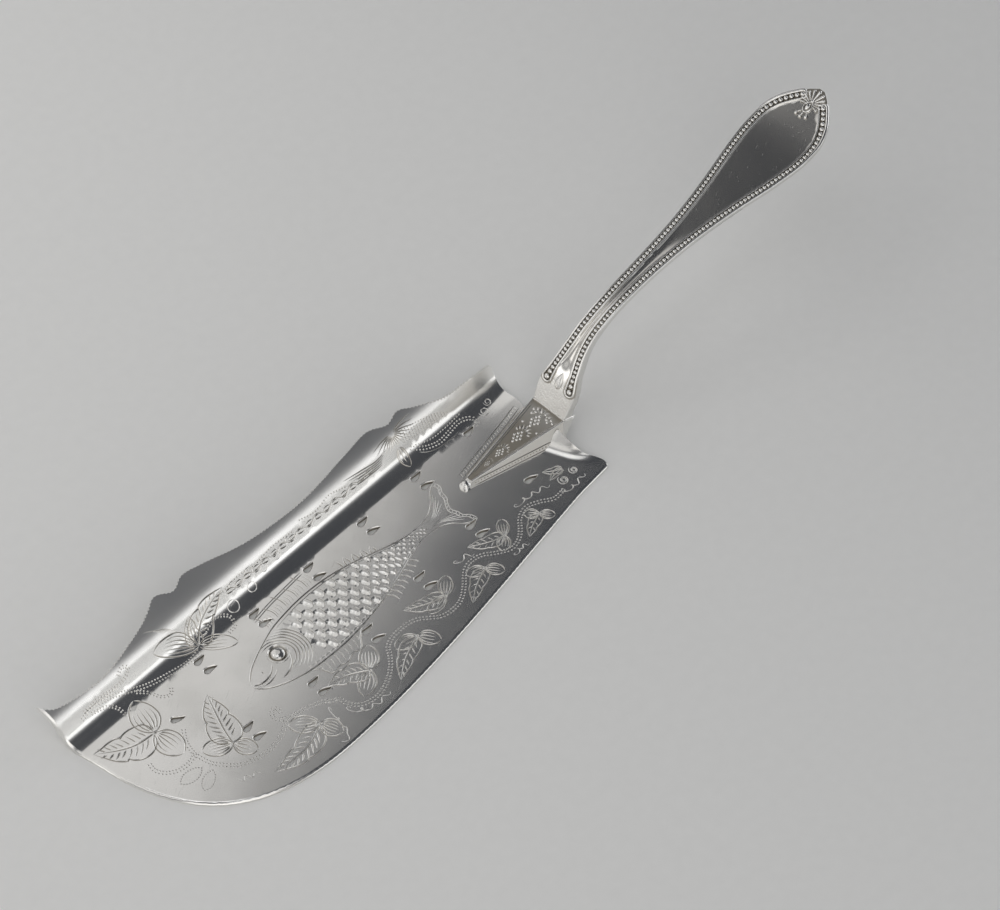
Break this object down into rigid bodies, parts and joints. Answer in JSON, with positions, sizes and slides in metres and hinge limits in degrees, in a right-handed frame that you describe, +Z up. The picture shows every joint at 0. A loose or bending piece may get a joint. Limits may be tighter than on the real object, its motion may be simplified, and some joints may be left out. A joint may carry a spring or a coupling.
{
  "type": "fish server",
  "caption": "Broad silver fish server: flat pierced blade with a turned-up scalloped lip, V-shaped shoulder tongue and an arched beaded handle.",
  "frame": {"origin": "on the underside of the blade's flat floor, on the handle's centre plane, below the middle of the tongue", "axes": "+X along the server towards the handle's end, +Y towards the turned-up lip, +Z up from the table"},
  "size_m": [0.2957, 0.0693, 0.0493],
  "materials": {
    "silver_sheet": "polished silver, bright-cut engraving, fine wear",
    "silver_handle": "struck silver, polished rims and beads, darker in the recesses"
  },
  "bodies": {
    "root": {"blade": "silver_sheet", "tongue": "silver_sheet", "handle": "silver_handle"}
  },
  "joints": []
}
